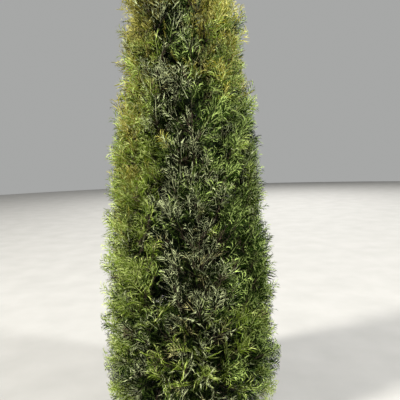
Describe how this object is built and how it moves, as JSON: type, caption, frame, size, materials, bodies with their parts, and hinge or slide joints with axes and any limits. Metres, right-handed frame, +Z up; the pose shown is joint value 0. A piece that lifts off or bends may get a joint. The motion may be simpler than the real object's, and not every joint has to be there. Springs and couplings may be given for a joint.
{
  "type": "lemon cypress",
  "caption": "Young columnar lemon cypress: one straight trunk, steep boughs and dense upright plumes of golden-green sprays.",
  "frame": {"origin": "middle of the trunk's flat cut at ground level", "axes": "+Z up the trunk, -Y towards the picture's viewer, +X to the viewer's right"},
  "size_m": [0.9762, 0.992, 3.8942],
  "materials": {
    "bark": "rough fibrous grey-brown bark",
    "young_bark": "thin reddish-brown bark",
    "foliage": "matt golden-green scale leaves"
  },
  "bodies": {
    "root": {"trunk": "bark", "bough_1_1": "young_bark", "bough_1_2": "young_bark", "bough_1_3": "young_bark", "bough_1_4": "young_bark", "bough_1_5": "young_bark", "bough_2_1": "young_bark", "bough_2_2": "young_bark", "bough_2_3": "young_bark", "bough_2_4": "young_bark", "bough_2_5": "young_bark", "bough_3_1": "young_bark", "bough_3_2": "young_bark", "bough_3_3": "young_bark", "bough_3_4": "young_bark", "bough_4_1": "young_bark", "bough_4_2": "young_bark", "bough_4_3": "young_bark", "bough_4_4": "young_bark", "bough_5_1": "young_bark", "bough_5_2": "young_bark", "bough_5_3": "young_bark", "bough_5_4": "young_bark", "bough_6_1": "young_bark", "bough_6_2": "young_bark", "bough_6_3": "young_bark", "bough_7_1": "young_bark", "bough_7_2": "young_bark", "bough_7_3": "young_bark", "foliage_1_1": "foliage", "foliage_1_2": "foliage", "foliage_1_3": "foliage", "foliage_1_4": "foliage", "foliage_1_5": "foliage", "foliage_2_1": "foliage", "foliage_2_2": "foliage", "foliage_2_3": "foliage", "foliage_2_4": "foliage", "foliage_2_5": "foliage", "foliage_3_1": "foliage", "foliage_3_2": "foliage", "foliage_3_3": "foliage", "foliage_3_4": "foliage", "foliage_4_1": "foliage", "foliage_4_2": "foliage", "foliage_4_3": "foliage", "foliage_4_4": "foliage", "foliage_5_1": "foliage", "foliage_5_2": "foliage", "foliage_5_3": "foliage", "foliage_5_4": "foliage", "foliage_6_1": "foliage", "foliage_6_2": "foliage", "foliage_6_3": "foliage", "foliage_7_1": "foliage", "foliage_7_2": "foliage", "foliage_7_3": "foliage", "foliage_leader": "foliage"}
  },
  "joints": []
}
